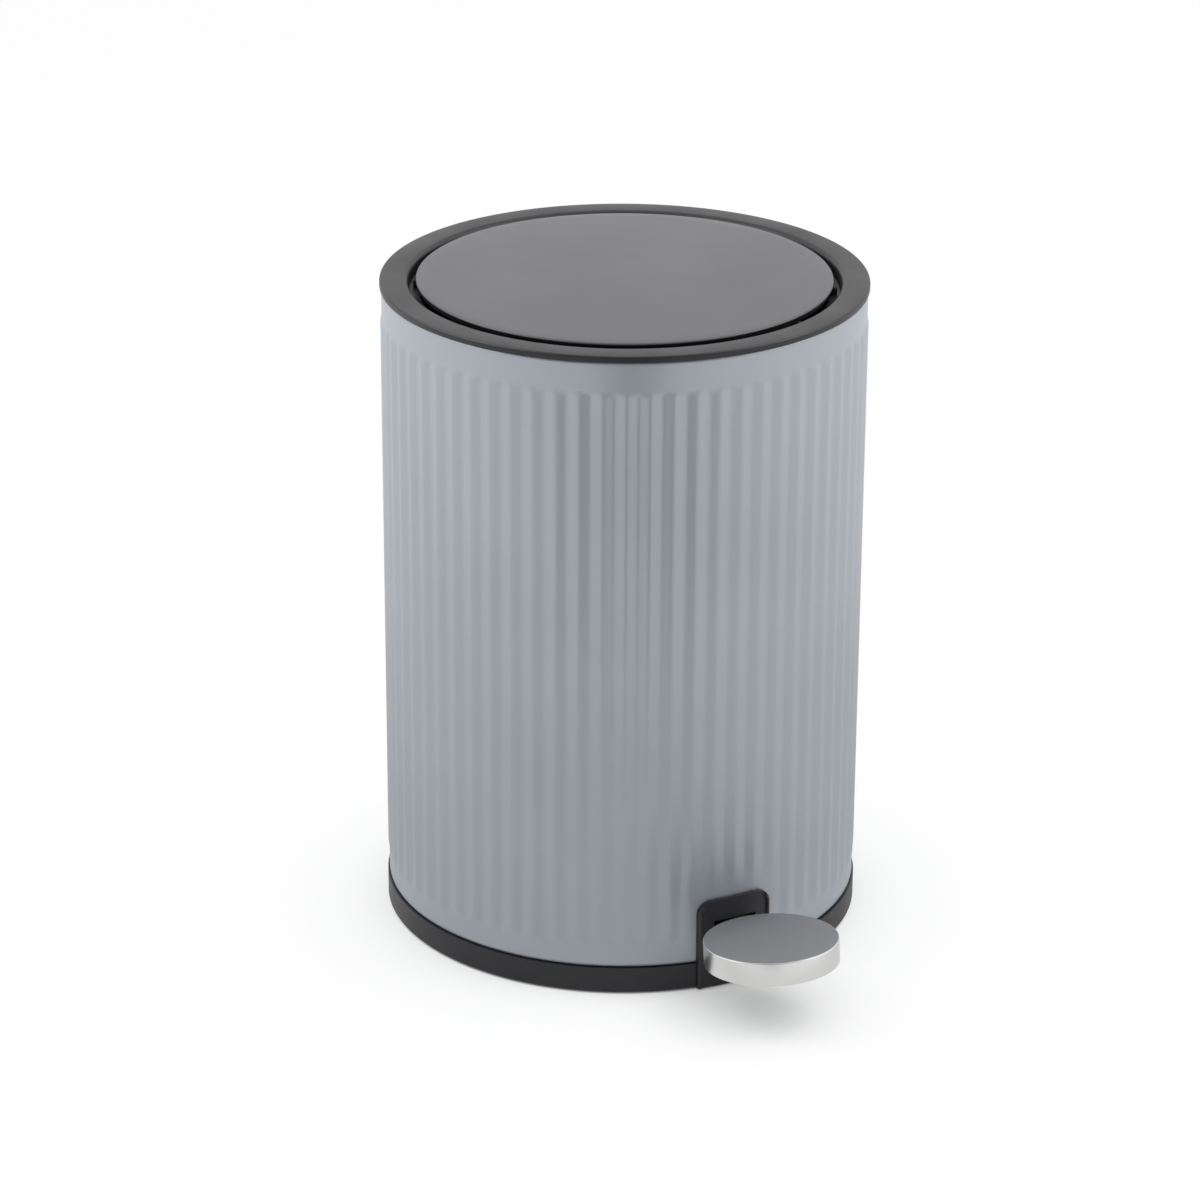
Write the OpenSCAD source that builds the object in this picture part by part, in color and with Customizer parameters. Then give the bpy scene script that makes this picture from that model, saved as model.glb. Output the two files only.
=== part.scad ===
/* [Overall] */
// Diameter over the rim and over the base ring
body_d = 187; // [184:1:192]
// Height from the floor to the crown of the lid
overall_h = 260; // [240:5:300]

/* [Shell] */
// Thickness of the shell's steel sheet
shell_t = 0.6; // [0.5:0.1:0.8]
// How far the plain bands of the shell stand back from the rim's face
shell_inset = 0.7; // [0.6:0.1:1.0]
// Number of flutes round the shell
flute_count = 66; // [60:1:72]
// Height of a flute's crest above the plain bands
flute_crest = 0.45; // [0.3:0.05:0.5]
// Depth of a flute's valley below the plain bands
flute_valley = 0.5; // [0.3:0.05:0.6]
// Height of the plain band under the rim
band_top = 12.1; // [11:0.1:14]
// Height of the plain band over the base ring
band_low = 10; // [9.6:0.1:13]

/* [Rim] */
// Height of the rim's side face
rim_face_h = 2.5; // [2.4:0.1:4.5]
// Width of the rim's flat top
rim_flat_w = 8.7; // [8.5:0.1:10]
// Radius of the rounded shoulder at the mouth
rim_shoulder = 2.4; // [1.5:0.1:2.4]
// Radius on the rim's outer edge
rim_round = 0.8; // [0.4:0.1:1.2]
// Thickness of the rim's walls
rim_t = 1.8; // [1.5:0.1:2]
// Depth of the ledge below the top of the rim
ledge_depth = 5.6; // [5.4:0.1:6.2]
// Width of the ledge
ledge_w = 4.6; // [4.2:0.1:5]
// Thickness of the ledge
ledge_t = 1.5; // [1.2:0.1:2]
// Thickness of the rim's top
rim_top_t = 2; // [1.6:0.1:2.4]
// Height of the skirt that sits inside the shell, under the side face
rim_skirt_h = 10; // [6:0.5:10.5]

/* [Lid] */
// Gap all round between the lid and the wall of the rim
lid_gap = 2.7; // [2.5:0.1:3]
// Rise of the lid's crown above its edge
lid_dome = 1.1; // [0.9:0.1:1.6]
// Height of the lid's edge above the rim
lid_proud = 0.3; // [0.1:0.1:0.6]
// Depth of the lid's turned-down edge
lid_edge_h = 3; // [2.6:0.1:3.2]
// Radius on the lid's top edge
lid_round = 1; // [0.8:0.1:1.3]
// Thickness of the lid's steel sheet
lid_t = 0.6; // [0.5:0.05:0.7]
// Thickness of the lid's plastic liner at its edge
liner_t = 1.3; // [1.2:0.1:1.4]
// Width of the stiffening ring under the liner
liner_ring_w = 1.5; // [1:0.1:2]
// Distance of the stiffening ring in front of the column
liner_ring_gap = 4; // [3:1:20]
// Depth of the stiffening ring under the liner
liner_ring_h = 3; // [1:0.5:3]

/* [Hinge] */
// Distance of the hinge axis inside the lid's back edge
hinge_inset = 5.7; // [5.4:0.1:6]
// Distance of the hinge axis below the lid's edge
hinge_drop = 2.5; // [2.45:0.05:2.6]
// Diameter of the hinge pin
hinge_pin_d = 2; // [1.8:0.1:2.2]
// Distance from the middle of the bin to the inner face of a hinge ear
ear_x = 16.5; // [16:0.5:18]
// Thickness of a hinge ear and of the column's side walls
ear_t = 3; // [2.5:0.1:3.5]
// Radius of the eye at the end of a hinge ear
ear_eye_r = 1.7; // [1.65:0.05:1.75]
// Thickness of a lug on the lid's liner
lug_t = 3; // [2.5:0.1:3.2]
// Radius of the lugs round the hinge pin
lug_r = 1.9; // [1.8:0.05:1.95]
// Opening angle of the lid
lid_open_deg = 80; // [70:1:80]

/* [Push rod] */
// Diameter of the push rod's wire
rod_d = 3; // [2.8:0.1:3.2]
// Distance of the push rod in front of the hinge axis
rod_arm = 6.5; // [6.3:0.1:6.8]
// Distance of the push rod to the right of the middle
rod_x = 4.5; // [4.3:0.1:4.8]
// Half the thickness of the slotted levers that the rod's hooks go through
tab_half = 1.5; // [1.3:0.1:1.6]
// Play of a hook across the lid's slot
slot_play = 1; // [0.9:0.1:1.2]
// Thickness of the plastic round the lid's slot
slot_wall = 1.8; // [1.5:0.1:2]
// Diameter of the push-on clips at the rod's ends
rod_clip_d = 5.4; // [5:0.1:6]
// Height of the lower hook above the floor, at rest
rod_low_z = 7; // [6.8:0.1:7.5]

/* [Base] */
// Height of the base ring's top edge above the floor
base_h = 11; // [9:0.5:13]
// Height of the raised floor's upper face
floor_z = 28; // [27.5:0.5:32]
// Thickness of the base moulding's walls and raised floor
base_t = 2; // [1.8:0.1:2.2]
// Height of the upstand that the shell slips over
upstand_h = 9; // [5:0.5:9]
// Gap between the base and what the bin stands on
base_lift = 0.6; // [0.4:0.1:0.9]
// Thickness of the rubber floor ring
foot_t = 1.2; // [1:0.1:1.6]
// Width of the rubber floor ring
foot_w = 3; // [2.4:0.2:3]
// Thickness of the flange that holds the floor ring
foot_flange_t = 2.4; // [2:0.1:3]
// Depth of the ribs under the raised floor
rib_h = 8; // [5:0.5:8]

/* [Pedal] */
// Diameter of the pedal's cap
cap_d = 51.6; // [48:0.4:53]
// Height of the pedal's cap
cap_h = 9.3; // [9:0.1:10]
// Thickness of the cap's steel sheet
cap_t = 0.8; // [0.6:0.1:1]
// Radius on the cap's top edge
cap_round = 1; // [0.8:0.1:1.4]
// Gap between the pedal's cap and the surround's bead
pedal_gap = 1.6; // [1.4:0.1:4]
// Rise of the pedal at rest, in degrees
pedal_rise_deg = 6; // [5.6:0.2:7]
// Height of the pedal's axle above the floor
axle_z = 14; // [13.4:0.2:14.6]
// Distance of the pedal's axle in front of the bin's axis
axle_front = 22; // [18:1:26]
// Diameter of the pedal's axle
axle_d = 4; // [3.6:0.2:4.4]
// Width of the pedal lever
lever_w = 14; // [13:0.5:15]
// Height of the pedal lever's side flanges
lever_h = 8; // [7:0.5:8.5]
// Thickness of the lever's steel
lever_t = 1.5; // [1.2:0.1:1.8]
// Width of the pedal surround
surround_w = 31; // [29:0.5:34]
// Height of the surround's top edge above the floor
surround_top = 37; // [36:0.5:42]
// How far the surround's bead stands out from the rim's and base's face
surround_proud = 1.7; // [1.5:0.1:1.8]
// Width of the bead round the surround
bead_w = 1.5; // [1:0.1:2]
// Depth of the surround's face behind its bead
bead_h = 0.8; // [0.5:0.1:1]
// Radius of the surround's top corners
surround_corner = 5.5; // [4:0.5:7]
// Height of the lever's slot above the floor
lever_slot_low = 5; // [4.5:0.1:5.5]

/* [Column and damper] */
// Distance of the column's front face in front of the hinge axis
column_reach = 12.5; // [12.3:0.1:13]
// Thickness of the column's front wall
column_t = 1.5; // [1.2:0.1:1.6]
// Outer diameter of the soft-close damper
damper_d = 9; // [8:0.5:10]
// Length of the damper's cylinder
damper_l = 56; // [50:1:64]
// Height of the damper's foot above the raised floor
damper_lift = 34; // [30:1:50]
// Distance of the damper to the left of the middle
damper_side = 9; // [8.5:0.1:9.5]
// Distance of the damper behind the hinge axis
damper_back = 4; // [3:0.5:5]
// Thickness of the link between the push rod and the damper
link_t = 4; // [3:0.5:5]
// Height of a rod guide
guide_h = 6; // [4:0.5:8]
// Height of the lower rod guide above the raised floor
guide_low_h = 62; // [40:1:80]
// Drop of the upper rod guide below the top of the column
guide_drop = 48; // [30:1:55]

/* [Fasteners] */
// Diameter of a screw
screw_d = 3; // [2.5:0.1:3.5]
// Diameter of a screw's head
screw_head_d = 6; // [5:0.2:6.4]
// Height of a screw's head
screw_head_h = 1.8; // [1.4:0.1:2]
// Length of a column screw inside the column
screw_reach = 12; // [8:0.5:12]
// Distance between the two rows of column screws
screw_row_gap = 14; // [12:0.5:15]

/* [Bucket] */
// Gap between the bucket's flange and the column, and between the flange and the ledge
bucket_gap = 1.15; // [1:0.05:3]
// Width of the bucket's flange
flange_w = 3.3; // [3:0.1:4]
// Thickness of the bucket's wall
bucket_t = 1.5; // [1.2:0.1:2]
// How much smaller the bucket's radius is at the bottom than under the flange
bucket_taper = 3.2; // [1:0.2:8]
// Drop of the bucket's flange below the top of the rim
bucket_drop = 25.4; // [24:0.2:40]
// Distance of the bail's wire inside the flange's edge
bail_inset = 2.5; // [2.2:0.1:2.6]
// Diameter of the bail's wire
bail_d = 2.5; // [2:0.1:2.6]
// Radius of the grip on the bail
grip_r = 2.6; // [2.2:0.1:2.8]
// Angle that the grip covers, in degrees
grip_deg = 36; // [20:2:60]
// Thickness of the bail's ears
bucket_ear_t = 2.6; // [2.2:0.1:3]
// Radius of the bail's ears
bucket_ear_r = 4.5; // [4:0.1:5]

/* [Hidden] */
$fn = 96;

plastic_black = "#2e2d30";
paint_grey = "#9a9fa6";
paint_dark = "#6d7074";
steel_satin = "#c9c7c4";
steel_dark = "#8d9094";
plastic_grey = "#b4b7ba";
bucket_black = "#3b3b3e";
rubber_black = "#3a3a3c";

eps = 0.01;
// side play of parts that are pushed together
fit = 0.15;
// play of a shaft or a screw in its hole, on the radius
bore_play = 0.05;
// gap between pieces that move past each other
air = 0.3;

// heights and radii that the driving dimensions give
body_r = body_d / 2;
rim_top = overall_h - lid_dome - lid_proud;
rim_face_z = rim_top - rim_face_h;
mouth_r = body_r - rim_flat_w - rim_shoulder;
ledge_top = rim_top - ledge_depth;
ledge_r = mouth_r - ledge_w;
// width of the ledge's cut-out beside the column
ledge_cut = 2.5;
shell_r = body_r - shell_inset;
shell_in_r = shell_r - shell_t;
crest_r = shell_r + flute_crest;
valley_in_r = shell_r - flute_valley - shell_t;
spigot_r = shell_in_r - fit;
base_wall_r = spigot_r - base_t + 0.4;
foot_in_r = base_wall_r - base_t - 2.5;
foot_seat_r = foot_in_r + 0.8;
base_under = floor_z - base_t;

lid_r = mouth_r - lid_gap;
lid_edge_z = rim_top + lid_proud;
liner_r = lid_r - lid_t - fit;
liner_low = lid_edge_z - lid_t - fit - liner_t;
buffer_r = 1.5;
buffer_stem_r = 0.9;
buffer_stem_end = 0.5;
buffer_ring_r = lid_r - 0.3;

// the hinge axis runs along X through this point of the YZ plane
hinge_y = lid_r - hinge_inset;
hinge_z = lid_edge_z - hinge_drop;

// the rod is straight above the lever's end, and its hooks run along -X
rod_r = rod_d / 2;
rod_y = hinge_y - rod_arm;
half_swing = lid_open_deg / 2;
rod_high_z = hinge_z - rod_arm * tan(half_swing);
hook_end_x = -(tab_half + 2.2);
rod_clip_t = 1;
rod_hole_r = rod_r + 1.5;

axle_y = -axle_front;
back_arm = rod_y - axle_y;
back_drop_deg = asin((axle_z - rod_low_z) / back_arm);
pedal_reach = body_r + surround_proud + pedal_gap + cap_d / 2;
pad_u = (pedal_reach - axle_front) / cos(pedal_rise_deg);
web_top = lever_h / 2;
web_low = web_top - lever_t;
cap_top = web_top + 3.3;
cap_low = cap_top - cap_h;
cap_r = cap_d / 2;
rib_x = lever_w / 2 + 4;
boss_x = lever_w / 2 + 2;
rib_t = base_t;
boss_t = 4;
boss_r = axle_d / 2 + 2.5;
clip_t = 0.8;
bush_r = axle_d / 2 + 1.1;
pad_screw_y = [-9, 5];
pad_screw_reach = 2;
tongue_end = 12;

surround_r = body_r + surround_proud;
neck_in_r = base_wall_r + fit;
surround_lap = 0.7;
lever_slot_half = lever_w / 2 + 2;
lever_slot_top = base_under + 2.5;

column_half = ear_x + ear_t;
column_y = hinge_y - column_reach;
column_in_y = column_y + column_t;
liner_ring_r = column_y - liner_ring_gap - liner_ring_w;
column_r = valley_in_r - 0.7;
column_low_top = rim_face_z - rim_skirt_h - 1.3;
column_top = hinge_z - 8;
ear_back_y = hinge_y - 0.6;
ear_cap_x = column_half + 0.7;
column_floor_t = 2;
screw_boss_r = 4;
screw_y = [for (i = [0, 1]) column_in_y + 5 + i * screw_row_gap];
guide_half = 4.5;
guide_z = [floor_z + guide_low_h, column_top - guide_drop];

flange_r = (ledge_r + column_y) / 2 - bucket_gap;
bucket_y = column_y - bucket_gap - flange_r;
bucket_top = rim_top - bucket_drop;
bucket_low = floor_z + 0.2;
bucket_r = flange_r - flange_w;
bucket_foot_r = bucket_r - bucket_taper;
bail_r = flange_r - bail_inset;
bail_z = bucket_top + air + grip_r;
bail_end_r = bail_d / 2 + 0.15;
bucket_ear_x = bucket_r - bucket_t - 1.7;
bucket_lip = 2;

damper_x = -damper_side;
damper_y = hinge_y + damper_back;
damper_low = floor_z + damper_lift;
damper_bore = damper_d - 2.4;
bracket_t = 2.4;
bracket_wall = 2;
bracket_z = [damper_low + 6, damper_low + damper_l - 8];
link_z = damper_low + damper_l + 28;
link_r = rod_r + 1.7;
column_screw_x = ear_x - 5;

module x_pin(r, x0, x1) {
    translate([x0, 0, 0]) rotate([0, 90, 0]) cylinder(r = r, h = x1 - x0);
}

module box(x0, x1, y0, y1, z0, z1) {
    translate([x0, y0, z0]) cube([x1 - x0, y1 - y0, z1 - z0]);
}

// turns an outline drawn in (y, z) into a plate from x0 to x1
module yz_plate(x0, x1) {
    translate([x0, 0, 0]) rotate([90, 0, 90]) linear_extrude(x1 - x0) children();
}

function arc(cx, cy, r, a0, a1, n) = [for (i = [0 : n])
    let (a = a0 + (a1 - a0) * i / n) [cx + r * cos(a), cy + r * sin(a)]];

// radius of the fluted sheet's face at angle a, for a plain radius r; a crest stands over the pedal
function flute_r(r, a) = r + (flute_crest - flute_valley) / 2
    + (flute_crest + flute_valley) / 2 * cos(flute_count * (a + 90));

module fluted_disc(r) {
    steps = flute_count * 6;
    polygon([for (i = [0 : steps - 1]) let (a = 360 * i / steps) flute_r(r, a) * [cos(a), sin(a)]]);
}

module surround_outline(inset, low) {
    half = surround_w / 2 - inset;
    r = surround_corner - inset;
    top = surround_top - inset;
    polygon(concat([[-half, low], [half, low]], arc(half - r, top - r, r, 0, 90, 8),
        arc(r - half, top - r, r, 90, 180, 8)));
}

// a prism of the surround's outline, cut to the band of radii r0 to r1
module surround_band(inset, low, r0, r1) {
    intersection() {
        rotate([90, 0, 0]) linear_extrude(body_d) surround_outline(inset, low);
        difference() {
            cylinder(r = r1, h = surround_top + 5, $fn = 180);
            translate([0, 0, -1]) cylinder(r = r0, h = surround_top + 7, $fn = 180);
        }
    }
}

module outer_shell() {
    color(paint_grey) difference() {
        union() {
            translate([0, 0, base_h]) cylinder(r = shell_r, h = band_low, $fn = 180);
            translate([0, 0, base_h + band_low])
                linear_extrude(rim_face_z - base_h - band_low - band_top) fluted_disc(shell_r);
            translate([0, 0, rim_face_z - band_top]) cylinder(r = shell_r, h = band_top, $fn = 180);
        }
        translate([0, 0, base_h - 1]) cylinder(r = shell_in_r, h = band_low + 1, $fn = 180);
        translate([0, 0, base_h + band_low - eps])
            linear_extrude(rim_face_z - base_h - band_low - band_top + 2 * eps) fluted_disc(shell_in_r);
        translate([0, 0, rim_face_z - band_top]) cylinder(r = shell_in_r, h = band_top + 1, $fn = 180);
        rotate([90, 0, 0]) linear_extrude(body_d) surround_outline(surround_lap - fit, 0);
    }
}

module rim_ring() {
    plate_low = rim_top - rim_top_t;
    color(plastic_black) difference() {
        rotate_extrude($fn = 180) polygon(concat(
            [[body_r, rim_face_z]],
            arc(body_r - rim_round, rim_top - rim_round, rim_round, 0, 90, 6),
            arc(mouth_r + rim_shoulder, rim_top - rim_shoulder, rim_shoulder, 90, 180, 8),
            [[mouth_r, ledge_top], [ledge_r, ledge_top], [ledge_r, ledge_top - ledge_t],
             [mouth_r + rim_t, ledge_top - ledge_t], [mouth_r + rim_t, plate_low],
             [spigot_r - rim_t, plate_low], [spigot_r - rim_t, rim_face_z - rim_skirt_h],
             [spigot_r, rim_face_z - rim_skirt_h], [spigot_r, rim_face_z]]));
        intersection() {
            box(-column_half - ledge_cut, column_half + ledge_cut, 0, body_r,
                ledge_top - 2 * ledge_t, ledge_top + eps);
            cylinder(r = mouth_r, h = overall_h, $fn = 180);
        }
        at_buffers() translate([0, 0, ledge_top - 2 * ledge_t])
            cylinder(r = buffer_stem_r + bore_play, h = 3 * ledge_t, $fn = 24);
    }
}

module at_buffers() {
    for (a = [30, 150, 210, 330]) rotate(a) translate([buffer_ring_r, 0, 0]) children();
}

module lid_buffers() {
    color(plastic_grey) at_buffers() {
        translate([0, 0, ledge_top - ledge_t - buffer_stem_end])
            cylinder(r = buffer_stem_r, h = ledge_t + buffer_stem_end + eps, $fn = 24);
        translate([0, 0, ledge_top])
            cylinder(r = buffer_r, h = lid_edge_z - lid_edge_h - air - ledge_top, $fn = 32);
    }
}

module base_moulding() {
    color(plastic_black) difference() {
        union() {
            rotate_extrude($fn = 180) polygon(concat(
                [[foot_in_r, base_lift], [body_r - 0.6, base_lift], [body_r, base_lift + 0.6],
                 [body_r, base_h], [spigot_r, base_h], [spigot_r, base_h + upstand_h],
                 [base_wall_r, base_h + upstand_h], [base_wall_r, floor_z], [0, floor_z], [0, base_under],
                 [base_wall_r - base_t, base_under], [base_wall_r - base_t, base_lift + foot_flange_t],
                 [foot_in_r, base_lift + foot_flange_t]]));
            for (s = [-1, 1]) {
                intersection() {
                    translate([s * rib_x, 0, base_under - rib_h])
                        box(-rib_t / 2, rib_t / 2, -body_r, column_y, 0, rib_h + base_t / 2);
                    cylinder(r = base_wall_r - base_t / 2, h = floor_z, $fn = 180);
                }
                translate([s * (boss_x + boss_t / 2), axle_y, axle_z]) {
                    box(-boss_t / 2, boss_t / 2, -boss_r, boss_r, 0, base_under + base_t / 2 - axle_z);
                    x_pin(boss_r, -boss_t / 2, boss_t / 2);
                }
            }
        }
        difference() {
            translate([0, 0, -1]) cylinder(r = foot_seat_r + foot_w, h = foot_t + 1, $fn = 180);
            translate([0, 0, -2]) cylinder(r = foot_seat_r, h = foot_t + 3, $fn = 180);
        }
        translate([0, axle_y, axle_z]) x_pin(axle_d / 2 + bore_play, -body_r / 2, body_r / 2);
        // seat of the pedal surround
        intersection() {
            box(-surround_w / 2 - fit, surround_w / 2 + fit, -body_d, 0, -1, surround_top + 1);
            difference() {
                cylinder(r = body_d, h = 3 * surround_top, center = true);
                cylinder(r = neck_in_r - fit, h = 3 * surround_top, center = true, $fn = 180);
            }
        }
        box(-lever_slot_half, lever_slot_half, -body_r, -base_wall_r / 2, lever_slot_low, base_under);
        translate([rod_x, rod_y, base_under - 1]) cylinder(r = rod_hole_r, h = base_t + 2, $fn = 48);
        at_column_screws(base_under - 1) cylinder(r = screw_d / 2 + bore_play, h = base_t + 2, $fn = 32);
    }
}

module floor_ring() {
    color(rubber_black) difference() {
        cylinder(r = foot_seat_r + foot_w, h = foot_t, $fn = 180);
        translate([0, 0, -1]) cylinder(r = foot_seat_r, h = foot_t + 2, $fn = 180);
    }
}

module pedal_surround() {
    color(plastic_black) difference() {
        union() {
            surround_band(0, base_lift, crest_r + 0.1, surround_r);
            surround_band(surround_lap, base_lift, neck_in_r, crest_r + 0.4);
        }
        surround_band(bead_w, -1, surround_r - bead_h, body_d);
        box(-lever_slot_half, lever_slot_half, -body_d, 0, lever_slot_low, lever_slot_top);
    }
}

module rear_column() {
    color(plastic_black) difference() {
        union() {
            box(-column_half, column_half, column_y, column_in_y, floor_z, column_top);
            for (s = [-1, 1]) {
                x0 = s * (ear_x + ear_t / 2) - ear_t / 2;
                intersection() {
                    box(x0, x0 + ear_t, column_y, body_r, floor_z, column_low_top);
                    cylinder(r = column_r, h = overall_h, $fn = 180);
                }
                box(x0, x0 + ear_t, column_y, hinge_y + 4, column_low_top - 1, column_top);
                box(x0, x0 + ear_t, column_y, ear_back_y, column_top - 1, hinge_z);
                translate([0, hinge_y, hinge_z]) x_pin(ear_eye_r, x0, x0 + ear_t);
            }
            at_column_screws(floor_z) cylinder(r = screw_boss_r, h = screw_reach + 2, $fn = 48);
            intersection() {
                box(-column_half, column_half, column_y, body_r, floor_z, floor_z + column_floor_t);
                cylinder(r = column_r - 2, h = overall_h, $fn = 180);
            }
            for (z = guide_z)
                box(rod_x - guide_half, rod_x + guide_half, column_in_y - eps, rod_y + guide_half,
                    z, z + guide_h);
            for (z = bracket_z)
                box(-ear_x - eps, damper_x + damper_d / 2 + bracket_wall,
                    column_in_y - eps, damper_y + damper_d / 2 + bracket_wall, z, z + bracket_t);
        }
        translate([0, hinge_y, hinge_z]) x_pin(hinge_pin_d / 2 + bore_play, -body_r, body_r);
        translate([rod_x, rod_y, floor_z - 1]) cylinder(r = rod_hole_r, h = column_floor_t + 2, $fn = 48);
        translate([rod_x, rod_y, guide_z[0] - 1])
            cylinder(r = rod_r + 2 * bore_play, h = guide_z[1] + guide_h - guide_z[0] + 2, $fn = 48);
        translate([damper_x, damper_y, damper_low - 1])
            cylinder(r = damper_d / 2 + bore_play, h = damper_l + 2, $fn = 48);
        at_column_screws(floor_z - 1) cylinder(r = screw_d / 2 + bore_play, h = screw_reach + 2, $fn = 32);
    }
}

module at_column_screws(z) {
    for (s = [-1, 1], y = screw_y) translate([s * column_screw_x, y, z]) children();
}

// a pan head screw that points up, its head against the plane z = 0
module screw(length) {
    translate([0, 0, -screw_head_h]) cylinder(r = screw_head_d / 2, h = screw_head_h, $fn = 32);
    translate([0, 0, -eps]) cylinder(r = screw_d / 2, h = length + eps, $fn = 32);
}

module column_screws() {
    color(steel_dark) at_column_screws(base_under) screw(base_t + screw_reach - 1);
}

module hinge_pin() {
    reach = ear_cap_x + 0.9;
    color(steel_dark) translate([0, hinge_y, hinge_z]) x_pin(hinge_pin_d / 2, -reach, reach);
}

module hinge_pin_clips() {
    color(plastic_grey) translate([0, hinge_y, hinge_z]) for (s = [-1, 1]) difference() {
        x_pin(ear_eye_r, s * ear_cap_x - 0.5, s * ear_cap_x + 0.5);
        x_pin(hinge_pin_d / 2 + bore_play, -body_r, body_r);
    }
}

module pedal_axle() {
    reach = boss_x + boss_t + clip_t + 1.2;
    color(steel_dark) translate([0, axle_y, axle_z]) x_pin(axle_d / 2, -reach, reach);
}

module axle_clips() {
    clip_x = boss_x + boss_t + air + clip_t / 2;
    color(steel_satin) translate([0, axle_y, axle_z]) for (s = [-1, 1]) difference() {
        x_pin(axle_d / 2 + 1.8, s * clip_x - clip_t / 2, s * clip_x + clip_t / 2);
        x_pin(axle_d / 2 + bore_play, -body_r, body_r);
    }
}

module damper_cylinder() {
    neck_r = rod_r + 2 * bore_play;
    cap_t = 3;
    floor_t = 2;
    color(plastic_grey) translate([damper_x, damper_y, damper_low]) rotate_extrude($fn = 48) polygon([
        [0, 0], [damper_d / 2, 0], [damper_d / 2, damper_l], [neck_r, damper_l], [neck_r, damper_l - cap_t],
        [damper_bore / 2, damper_l - cap_t], [damper_bore / 2, floor_t], [0, floor_t]]);
}

// height of the lid's upper face at radius r
function dome_z(r) = lid_edge_z + lid_dome * (1 - pow(r / lid_r, 2));

module lid_cap() {
    flat_r = lid_r - lid_round;
    z1 = dome_z(flat_r);
    // where the dome runs into the edge's radius
    turn = 80;
    color(paint_dark) rotate_extrude($fn = 180) polygon(concat(
        [for (i = [0 : 10]) [flat_r * i / 10, dome_z(flat_r * i / 10)]],
        arc(flat_r, z1 - lid_round, lid_round, turn, 0, 6),
        [[lid_r, lid_edge_z - lid_edge_h], [lid_r - lid_t, lid_edge_z - lid_edge_h]],
        arc(flat_r, z1 - lid_round, lid_round - lid_t, 0, turn, 4),
        [for (i = [10 : -1 : 0]) [flat_r * i / 10, dome_z(flat_r * i / 10) - lid_t]]));
}

// outline of the lever that hangs under the lid, around the hinge axis at the origin
module lid_lever_outline() {
    far = rod_arm / cos(half_swing) + 0.25;
    near = rod_arm - 0.25;
    half = (rod_d + slot_play) / 2;
    wall = half + slot_wall;
    difference() {
        union() {
            rotate(180 + half_swing) {
                polygon([[0, -lug_r], [near - 2, -wall], [far, -wall],
                    [far, wall], [near - 2, wall], [0, lug_r]]);
                translate([far, 0]) circle(r = wall, $fn = 64);
            }
            circle(r = lug_r, $fn = 48);
            // the web that joins the lever to the liner
            polygon([[-14, liner_low - hinge_z + 0.2],
                [-far * cos(half_swing) - 2, -far * sin(half_swing) + 2],
                [0, 0], [-2.3, liner_low - hinge_z + 0.2]]);
        }
        rotate(180 + half_swing) {
            translate([near, -half]) square([far - near, 2 * half]);
            translate([near, 0]) circle(r = half, $fn = 48);
            translate([far, 0]) circle(r = half, $fn = 48);
        }
        circle(r = hinge_pin_d / 2 + 2 * bore_play, $fn = 48);
    }
}

module lid_liner() {
    cut_x = column_half + 4;
    cut_y = hinge_y - ear_eye_r - 0.8;
    // keeps the liner's edge out of the lid's radius
    edge_drop = 0.35;
    color(plastic_black) {
        difference() {
            rotate_extrude($fn = 180) polygon(concat(
                [[0, liner_low], [liner_ring_r, liner_low], [liner_ring_r, liner_low - liner_ring_h],
                 [liner_ring_r + liner_ring_w, liner_low - liner_ring_h],
                 [liner_ring_r + liner_ring_w, liner_low], [liner_r, liner_low]],
                [for (i = [10 : -1 : 0]) let (r = liner_r * i / 10)
                    [r, dome_z(r) - lid_t - fit - (i == 10 ? edge_drop : 0)]]));
            box(-cut_x, cut_x, cut_y, body_r, 0, overall_h + 1);
        }
        for (s = [-1, 1]) {
            x0 = s * (ear_x - 1 - lug_t / 2) - lug_t / 2;
            translate([0, hinge_y, hinge_z]) difference() {
                union() {
                    yz_plate(x0, x0 + lug_t)
                        polygon([[-8, liner_low - hinge_z + 0.2], [0, -lug_r], [0, 1.5], [-8, 1.5]]);
                    x_pin(lug_r, x0, x0 + lug_t);
                }
                x_pin(hinge_pin_d / 2 + 2 * bore_play, -body_r, body_r);
            }
        }
        translate([0, hinge_y, hinge_z]) yz_plate(-tab_half, tab_half) lid_lever_outline();
    }
}

// the pedal's own frame: u runs from the axle out to the pad, w is up
module pedal_frame() {
    translate([0, axle_y, axle_z]) rotate([-pedal_rise_deg, 0, 0]) children();
}

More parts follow.
